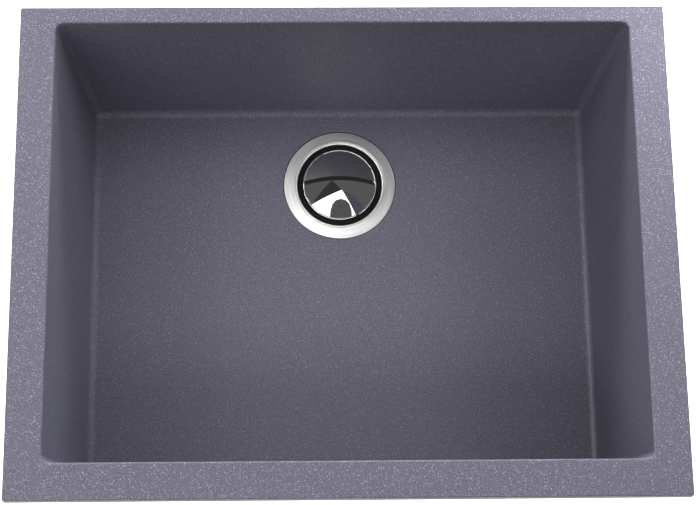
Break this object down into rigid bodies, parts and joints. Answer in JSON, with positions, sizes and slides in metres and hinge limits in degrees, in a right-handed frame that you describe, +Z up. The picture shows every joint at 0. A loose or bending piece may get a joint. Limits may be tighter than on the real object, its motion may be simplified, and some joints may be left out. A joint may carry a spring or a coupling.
{
  "type": "undermount kitchen sink",
  "caption": "Rectangular single-bowl undermount kitchen sink in speckled grey composite, with a flat rim, a round basket strainer with a pop-up stopper, and swing-out hanger clips.",
  "frame": {"origin": "centre of the rim's flat top face, which the worktop's underside rests on", "axes": "+X to the right as the user stands at the sink, +Y to the wall behind it, +Z up"},
  "size_m": [0.61, 0.467, 0.3756],
  "materials": {
    "composite": "fine-speckled matt cast composite",
    "insert_brass": "turned brass",
    "zinc_steel": "zinc-plated steel",
    "flange_steel": "brushed stainless steel",
    "black_rubber": "moulded rubber",
    "fibre": "pressed fibre",
    "nut_metal": "die-cast, matt",
    "white_plastic": "moulded polyethylene",
    "basket_steel": "drawn stainless sheet",
    "polished_steel": "mirror-polished stainless steel"
  },
  "bodies": {
    "sink": {"bowl": "composite", "rim_inserts": "insert_brass", "clip_screws": "zinc_steel", "clip_washers": "zinc_steel", "strainer_body": "flange_steel", "flange_gasket": "black_rubber", "sealing_washer": "black_rubber", "friction_washer": "fibre", "lock_nut": "nut_metal", "tailpiece_washer": "white_plastic", "tailpiece": "flange_steel", "slip_nut": "nut_metal"},
    "basket": {"strainer_basket": "basket_steel", "basket_post": "basket_steel", "guide_bush": "white_plastic", "stem_o_ring": "black_rubber", "post_grommet": "black_rubber", "post_washer": "basket_steel", "post_nut": "basket_steel"},
    "stopper": {"stopper_cap": "polished_steel", "stopper_seal": "black_rubber", "stopper_plate": "basket_steel", "stopper_stem": "basket_steel", "stem_nut": "basket_steel", "stem_stop_ring": "basket_steel"},
    "clip_right_1": {"clip_right_1": "zinc_steel"},
    "clip_left_1": {"clip_left_1": "zinc_steel"},
    "clip_right_2": {"clip_right_2": "zinc_steel"},
    "clip_left_2": {"clip_left_2": "zinc_steel"},
    "clip_right_3": {"clip_right_3": "zinc_steel"},
    "clip_left_3": {"clip_left_3": "zinc_steel"},
    "clip_front_1": {"clip_front_1": "zinc_steel"},
    "clip_front_2": {"clip_front_2": "zinc_steel"}
  },
  "joints": [
    {"name": "basket_lift", "type": "slide", "parent": "sink", "child": "basket", "axis": [0, 0, 1], "range_m": [0, 0.28]},
    {"name": "stopper_pop_up", "type": "slide", "parent": "basket", "child": "stopper", "axis": [0, 0, 1], "range_m": [0, 0.01]},
    {"name": "clip_right_1_swing", "type": "hinge", "parent": "sink", "child": "clip_right_1", "pos_m": [0.29019, -0.15, -0.01815], "axis": [0, 0, 1], "range_deg": [-90, 0]},
    {"name": "clip_left_1_swing", "type": "hinge", "parent": "sink", "child": "clip_left_1", "pos_m": [-0.29019, -0.15, -0.01815], "axis": [0, 0, 1], "range_deg": [0, 90]},
    {"name": "clip_right_2_swing", "type": "hinge", "parent": "sink", "child": "clip_right_2", "pos_m": [0.29019, 0, -0.01815], "axis": [0, 0, 1], "range_deg": [-90, 0]},
    {"name": "clip_left_2_swing", "type": "hinge", "parent": "sink", "child": "clip_left_2", "pos_m": [-0.29019, 0, -0.01815], "axis": [0, 0, 1], "range_deg": [0, 90]},
    {"name": "clip_right_3_swing", "type": "hinge", "parent": "sink", "child": "clip_right_3", "pos_m": [0.29019, 0.15, -0.01815], "axis": [0, 0, 1], "range_deg": [-90, 0]},
    {"name": "clip_left_3_swing", "type": "hinge", "parent": "sink", "child": "clip_left_3", "pos_m": [-0.29019, 0.15, -0.01815], "axis": [0, 0, 1], "range_deg": [0, 90]},
    {"name": "clip_front_1_swing", "type": "hinge", "parent": "sink", "child": "clip_front_1", "pos_m": [-0.15, -0.21869, -0.01815], "axis": [0, 0, 1], "range_deg": [0, 90]},
    {"name": "clip_front_2_swing", "type": "hinge", "parent": "sink", "child": "clip_front_2", "pos_m": [0.15, -0.21869, -0.01815], "axis": [0, 0, 1], "range_deg": [-90, 0]}
  ]
}
